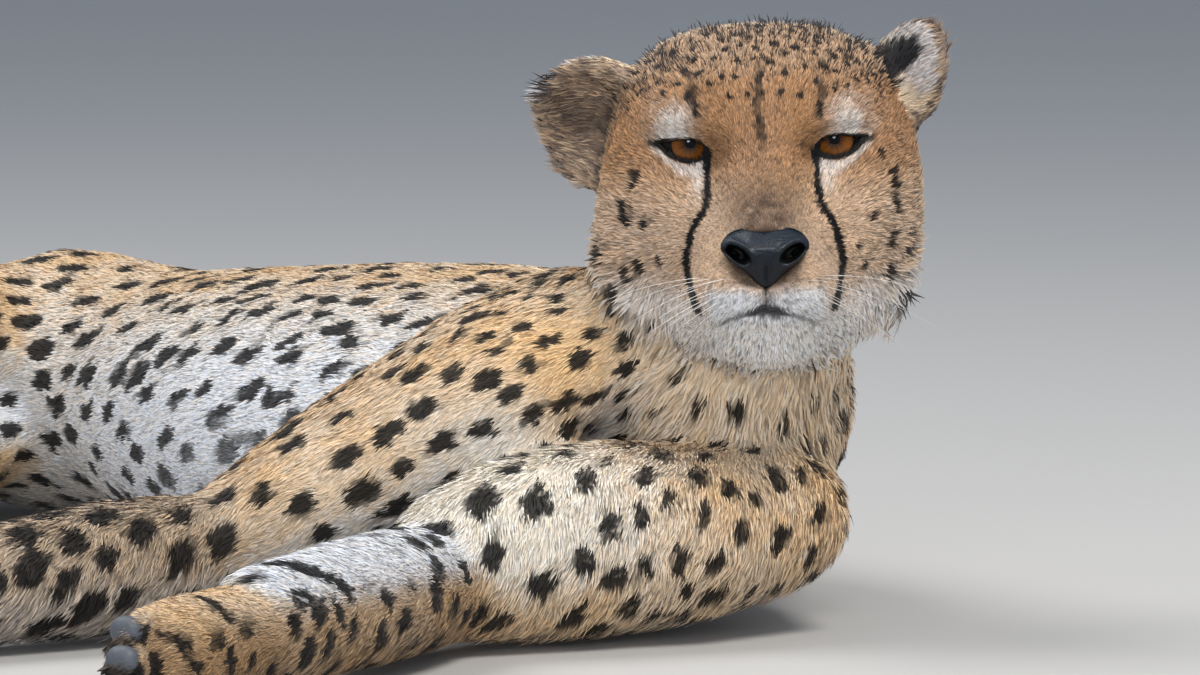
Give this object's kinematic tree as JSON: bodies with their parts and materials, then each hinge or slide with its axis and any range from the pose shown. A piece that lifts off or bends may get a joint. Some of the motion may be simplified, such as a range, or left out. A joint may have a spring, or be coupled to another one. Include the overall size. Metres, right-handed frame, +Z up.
{
  "type": "cheetah",
  "caption": "Life-size model of a cheetah lying on its side with raised head, spotted coat, forelegs and hind legs stretched out and the tail laid on the floor.",
  "frame": {"origin": "on the floor, under the middle of the bounding box", "axes": "+Z up, the head looks along -Y, +X towards the animal's left of its face"},
  "size_m": [1.096, 1.1008, 0.3002],
  "materials": {
    "coat_body": "matte",
    "coat_head": "matte",
    "coat_pale": "matte",
    "coat_ear": "matte",
    "eye": "gloss",
    "nose_leather": "satin"
  },
  "bodies": {
    "root": {"trunk": "coat_body", "head": "coat_head", "neck": "coat_body", "ear_right": "coat_ear", "ear_left": "coat_ear", "eye_right": "eye", "eye_left": "eye", "nose": "nose_leather", "foreleg_right_upper": "coat_body", "foreleg_right_lower": "coat_body", "forepaw_right": "coat_body", "foreleg_left_upper": "coat_body", "foreleg_left_lower": "coat_pale", "forepaw_left": "coat_body", "hindleg_right_thigh": "coat_body", "hindleg_right_shank": "coat_body", "hindpaw_right": "coat_body", "hindleg_left_thigh": "coat_pale", "hindleg_left_shank": "coat_pale", "hindpaw_left": "coat_body", "tail_root": "coat_body", "tail_middle": "coat_body", "tail_tip": "coat_pale"}
  },
  "joints": []
}
